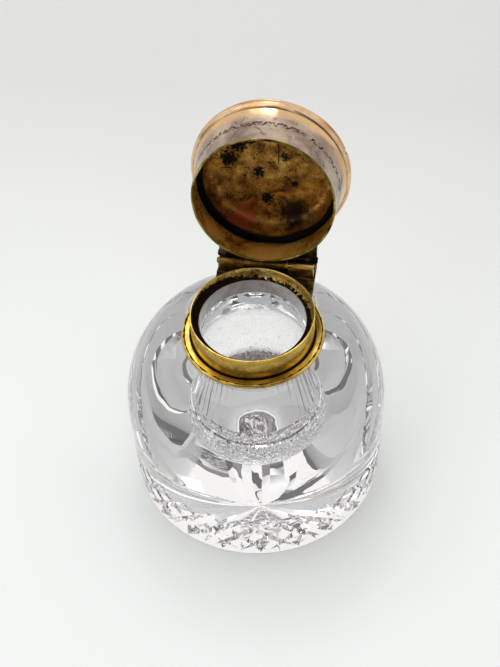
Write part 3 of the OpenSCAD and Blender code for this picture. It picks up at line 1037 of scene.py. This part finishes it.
def fumedLining():
    # gilt lining fumed by ink: brown gold with black pits and crusts, a long scratch and one
    # patch of bare copper red
    metal, layers = agedMetal("gilt_lining_fumed_by_ink", linerLook)
    place = layers["place"]
    edge = closedExtent("lid_rim_wire")[1]
    floor = edge + lid["linerFloor"]

    def above(spot):
        return spot[0], spot[1], floor + spot[2]

    for x, y, size in linerLook["crusts"]:
        crust = patchAt(metal, place, (x, y, floor), size * mm, size * 0.55 * mm, 1.1, size * 2.6 * mm)
        cover(metal, layers, crust, "#140C07", 0.6, -0.04)
    bare = patchAt(metal, place, above(linerLook["copper"]), 0.0068, 0.0034, 2.4, 0.012)
    cover(metal, layers, bare, "#C06C40", 0.4, 0.0)
    sooty = patchAt(metal, place, above(linerLook["soot"]), 0.0085, 0.0035, 2.2, 0.012)
    cover(metal, layers, sooty, "#34241A", 0.5, 0.0)
    axes = addNode(metal, "SeparateXYZ", {0: place}).outputs
    scratchX, scratchY = linerLook["scratch"]
    aside = addNode(metal, "Math", {1: scratchX, 0: axes[0]}, operation="SUBTRACT")
    width = addNode(metal, "Math", {0: aside}, operation="ABSOLUTE")
    thin = ragged(metal, width, place, 0.00028, 0.00012, 1.5, 0.0003)
    length = addNode(metal, "Math", {1: -scratchY, 0: axes[1]}, operation="ADD")
    length = addNode(metal, "Math", {0: length}, operation="ABSOLUTE")
    span = ragged(metal, length, place, 0.0068, 0.0058, 2.0, 0.002)
    scratch = addNode(metal, "Math", {0: thin, 1: span}, operation="MULTIPLY")
    cover(metal, layers, scratch, "#1E120A", 0.5, -0.05)
    # painted shade: the band of the lining next to its rolled rim, in the corner against the skirt, is
    # painted near black
    low = addNode(metal, "MapRange", {"From Min": (edge + lid["linerStep"] + 2.6) * mm,
        "From Max": (edge + lid["linerStep"] + 0.9) * mm, "Value": axes[2]})
    cover(metal, layers, low, "#120B06", 0.6, 0.0)
    return closeMetal(metal, layers, 0.72)


innerLook = {
    "tones": ("#9C6818", "#E8A838", "#FFDC70"),
    "patch": 7.0, "lines": (8.0, 0.6), "lineTone": 0.25, "lineDepth": 0.008, "turned": True,
    "roughness": (0.3, 0.45), "lid": True,
    "pit": 0.5, "pitStart": 0.9, "pitColour": "#3A220C", "pitDepth": 0.04,
    "paintedHighlight": ((1.5, 25.0, 9.0), (-19.0, 16.0, 6.0)),
}


def pittedInnerGilding():
    # gilding inside the skirt: strong gold with brown pits through it, bright gold patches painted as
    # highlights, and painted shade deep in, next to the lining
    metal, layers = agedMetal("gilding_inside_the_skirt", innerLook)
    place = layers["place"]
    axes = addNode(metal, "SeparateXYZ", {0: place}).outputs
    step = (closedExtent("lid_rim_wire")[1] + lid["linerStep"]) * mm
    # painted shade: the deepest band inside the skirt, next to the lining, is painted near black
    paintedRecessShade = ragged(metal, axes[2], place, step - 0.0022, step - 0.0008, 1.4, 0.0014)
    cover(metal, layers, paintedRecessShade, "#120B06", 0.6, 0.0)
    # painted highlights: bright, glossier gold patches are painted where light pools inside the skirt
    for across, back, size in innerLook["paintedHighlight"]:
        paintedHighlight = patchAt(metal, place, (across, back, step / mm - 8), size * mm, size * 0.45 * mm, 1.2,
            0.004)
        cover(metal, layers, paintedHighlight, "#FFCC6A", 0.32, 0.0)
    return closeMetal(metal, layers, 0.72)


def neckCement():
    # plaster of Paris, poured and left matt: warm white with faint blotches
    cement = newMaterial("plaster_of_paris_poured")
    place = addNode(cement, "TexCoord").outputs["Object"]
    blotch = addNode(cement, "TexNoise", {"Scale": 1 / (3.0 * mm), "Detail": 4, "Vector": place})
    colour = addNode(cement, "ValToRGB", {"Fac": blotch}, ramp=[(0.35, hexColour("#D2CCC6")),
        (0.65, hexColour("#EEEAE4"))])
    grain = addNode(cement, "Bump", {"Distance": 0.00005, "Height": blotch})
    shader = addNode(cement, "BsdfPrincipled", {"Roughness": 0.9, "Base Color": colour, "Normal": grain})
    addNode(cement, "OutputMaterial", {"Surface": shader})
    return cement


crystal = {
    "ior": 1.55,
    "tint": "#FCFBFC",
    "clearRadius": 12.0,
    "paintedLowShade": "#988E90",
    "glow": "#F4EEF0",
    "glowStrength": 0.02,
    "rippleSize": 9.0,
    "rippleHeight": 0.05,
    "pebbleSize": 1.1,
    "pebbleHeight": 0.5,
    "lineHeight": 37.0,
}


def closeCrystal(clear, c, links):
    # a faint glow stands in for light that the renderer doesn't carry through the glass
    shader = addNode(clear, "BsdfPrincipled", {"Base Color": hexColour(c["tint"]), "Roughness": 0.0,
        "IOR": c["ior"], "Transmission Weight": 1.0, "Emission Color": hexColour(c["glow"]),
        "Emission Strength": c["glowStrength"], **links})
    addNode(clear, "OutputMaterial", {"Surface": shader})


def cutCrystal(c):
    # lead crystal, wheel cut and acid polished: colourless, with a slight ripple in its faces
    # that breaks up what is seen through it
    clear = newMaterial("lead_crystal_cut_and_polished")
    place = addNode(clear, "TexCoord").outputs["Object"]
    wave = addNode(clear, "TexNoise", {"Scale": 1 / (c["rippleSize"] * mm), "Detail": 1, "Vector": place})
    ripple = addNode(clear, "Bump", {"Distance": c["rippleHeight"] * mm, "Height": wave})
    closeCrystal(clear, c, {"Normal": ripple})
    return clear


def mouldedWell(c):
    # lead crystal left as it came off the plunger: pebbled towards the floor, where fine dark
    # specks of old ink sit in the hollows, and where the glass is painted a darker mauve grey as shade
    clear = newMaterial("lead_crystal_moulded_well")
    place = addNode(clear, "TexCoord").outputs["Object"]
    height = addNode(clear, "SeparateXYZ", {0: place}).outputs[2]
    line = c["lineHeight"] * mm
    low = addNode(clear, "MapRange", {"From Min": line + 0.004, "From Max": line - 0.001, "Value": height})
    flat = addNode(clear, "VectorMath", {1: (1, 1, 0), 0: place}, operation="MULTIPLY")
    radius = addNode(clear, "VectorMath", {0: flat}, operation="LENGTH")
    ring = addNode(clear, "MapRange", {"From Min": c["clearRadius"] * mm,
        "From Max": (c["clearRadius"] + 4) * mm, "Value": radius.outputs["Value"]})
    lowZone = addNode(clear, "Math", {0: low, 1: ring}, operation="MULTIPLY")
    pebbles = addNode(clear, "TexVoronoi", {"Scale": 1 / (c["pebbleSize"] * mm), "Vector": place},
        feature="SMOOTH_F1").outputs["Distance"]
    relief = addNode(clear, "Math", {0: pebbles, 1: low}, operation="MULTIPLY")
    above = addNode(clear, "Math", {1: line, 0: height}, operation="SUBTRACT")
    away = addNode(clear, "Math", {0: above}, operation="ABSOLUTE")
    ridge = addNode(clear, "MapRange", {"From Min": 0.0, "From Max": 0.0007, "To Min": 0.9,
        "To Max": 0.0, "Value": away})
    relief = addNode(clear, "Math", {0: relief, 1: ridge}, operation="ADD")
    bump = addNode(clear, "Bump", {"Distance": c["pebbleHeight"] * mm, "Height": relief})
    specks = addNode(clear, "TexNoise", {"Scale": 1 / (0.45 * mm), "Detail": 4, "Vector": place})
    fall = addNode(clear, "Math", {1: 0.24, 0: lowZone, 2: specks}, operation="MULTIPLY_ADD")
    # painted shade: low in the well and outside the clear middle, the glass colour goes to a darker mauve
    # grey
    tint = addNode(clear, "MixRGB", {"Color1": hexColour(c["tint"]), "Color2": hexColour(c["paintedLowShade"]),
        "Fac": lowZone})
    ink = addNode(clear, "MapRange", {"From Min": 0.6, "From Max": 0.7, "Value": fall})
    colour = addNode(clear, "MixRGB", {"Color2": hexColour("#2E2628"), "Fac": ink, "Color1": tint})
    closeCrystal(clear, c, {"Normal": bump, "Base Color": colour})
    return clear


finishes = {
    "lead_crystal": [cutCrystal(crystal), mouldedWell(crystal)],
    "plaster": [neckCement()],
    "gilt_brass": [giltSpunBrass()],
    "pitted_gilt": [inkEatenGilding()],
    "dark_bronze": [brownedBrass()],
    "knuckle_brass": [brassBrightAtRightEnd()],
    "pin_steel": [peenedSteel()],
    "worn_silver": [engravedSilver(scroll), pittedInnerGilding()],
    "rose_gilt": [roseGilding()],
    "rim_gilt": [rubbedGiltWire()],
    "liner_gilt": [fumedLining()],
}
for piece in list(bpy.context.scene.collection.all_objects):
    if piece.get("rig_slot") in finishes and piece.name not in nodes:
        for finish in finishes[piece["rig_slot"]]:
            piece.data.materials.append(finish)
print("stage: finishes on")

camera = {"azimuth": 10.58, "elevation": 49.58, "roll": -2.86, "distance": 0.4349,
          "lens": 64.77, "target": (-0.00295, 0.00967, 0.05897)}


def makeCamera(c):
    a, e, roll = (math.radians(c[k]) for k in ("azimuth", "elevation", "roll"))
    back = Vector((math.sin(a) * math.cos(e), -math.cos(a) * math.cos(e), math.sin(e)))
    right = (-back).cross(Vector((0, 0, 1))).normalized()
    up = right.cross(-back)
    side = math.cos(roll) * right + math.sin(roll) * up
    top = -math.sin(roll) * right + math.cos(roll) * up
    data = bpy.data.cameras.new("camera")
    data.sensor_width = 36
    data.lens = c["lens"]
    data.clip_start = 0.01
    data.clip_end = 50
    view = bpy.data.objects.new("camera", data)
    turn = Matrix((side, top, back)).transposed().to_4x4()
    view.matrix_world = Matrix.Translation(Vector(c["target"]) + back * c["distance"]) @ turn
    bpy.context.scene.collection.objects.link(view)
    bpy.context.scene.camera = view


makeCamera(camera)

table = {"half": 3.0, "gap": 0.00005, "far": "#D8DAD9", "near": "#F2F6F5", "paintedGlow": 0.1}


def makeTable(t):
    # plain matt white board with painted shade that makes it a little greyer towards the back, and a faint
    # even glow painted into it as light
    bm = bmesh.new()
    bmesh.ops.create_grid(bm, x_segments=1, y_segments=1, size=t["half"])
    board = placeMesh("table_top", bm)
    board.location.z = -t["gap"]
    paint = newMaterial("matt_white_board")
    place = addNode(paint, "TexCoord").outputs["Object"]
    axes = addNode(paint, "SeparateXYZ", {0: place}).outputs
    # painted shade: the board's colour greys from near to far towards the back
    share = addNode(paint, "MapRange", {"From Min": 0.0, "From Max": 0.22, "Value": axes[1]})
    plain = addNode(paint, "ValToRGB", {"Fac": share}, ramp=[(0.0, hexColour(t["near"])),
        (1.0, hexColour(t["far"]))])
    # painted light: the board glows faintly in its own colour, though it is no lamp
    shader = addNode(paint, "BsdfPrincipled", {"Roughness": 0.7, "Emission Strength": t["paintedGlow"],
        "Base Color": plain, "Emission Color": plain})
    addNode(paint, "OutputMaterial", {"Surface": shader})
    board.data.materials.append(paint)


makeTable(table)

room = {"strength": 1.0, "panels": 5, "key": 2.1, "spot": 0.7, "opening": (0.2, -0.78, 0.59),
        "dimming": 2.2}


def makeRoom(r):
    # plain white studio: bright screens with darker gaps between them
    world = bpy.data.worlds.new("studio_room")
    bpy.context.scene.world = world
    world.use_nodes = True
    world.node_tree.nodes.clear()
    sky = addNode(world, "TexCoord").outputs["Generated"]
    axes = addNode(world, "SeparateXYZ", {0: sky}).outputs
    turn = addNode(world, "Math", {0: axes[1], 1: axes[0]}, operation="ARCTAN2")
    spin = addNode(world, "Math", {1: r["panels"], 2: 0.9, 0: turn}, operation="MULTIPLY_ADD")
    wave = addNode(world, "Math", {0: spin}, operation="SINE")
    lean = addNode(world, "Math", {1: 1.4, 0: axes[2], 2: wave}, operation="MULTIPLY_ADD")
    facing = addNode(world, "VectorMath", {1: r["opening"], 0: sky}, operation="DOT_PRODUCT")
    shut = addNode(world, "MapRange", {"From Min": 0.7, "From Max": 0.86, "To Max": r["dimming"],
        "Value": facing.outputs["Value"]})
    lean = addNode(world, "Math", {0: lean, 1: shut}, operation="SUBTRACT")
    share = addNode(world, "MapRange", {"From Min": -1.0, "From Max": 1.0, "Value": lean})
    walls = addNode(world, "ValToRGB", {"Fac": share}, ramp=[(0.0, hexColour("#6A6868")),
        (0.16, hexColour("#8A8686")), (0.24, hexColour("#DCDCDE")), (0.30, hexColour("#FFFFFF")),
        (0.42, hexColour("#F8F6F4"))])
    light = addNode(world, "Background", {"Strength": r["strength"], "Color": walls})
    addNode(world, "OutputWorld", {"Surface": light})


def softBox(name, place, aim, width, height, power):
    data = bpy.data.lights.new(name, "AREA")
    data.shape = "RECTANGLE"
    data.size = width
    data.size_y = height
    data.energy = power
    lamp = bpy.data.objects.new(name, data)
    lamp.location = place
    lamp.rotation_euler = (Vector(aim) - Vector(place)).to_track_quat("-Z", "Y").to_euler()
    bpy.context.scene.collection.objects.link(lamp)


makeRoom(room)
softBox("overhead", (-0.35, 0.25, 1.1), (0, 0, 0.05), 0.9, 0.9, room["key"])
softBox("back_spot", (-0.12, 0.6, 0.95), (0, 0, 0.09), 0.3, 0.2, room["spot"])
bpy.context.scene.view_settings.view_transform = "Standard"
print("stage: room lit")
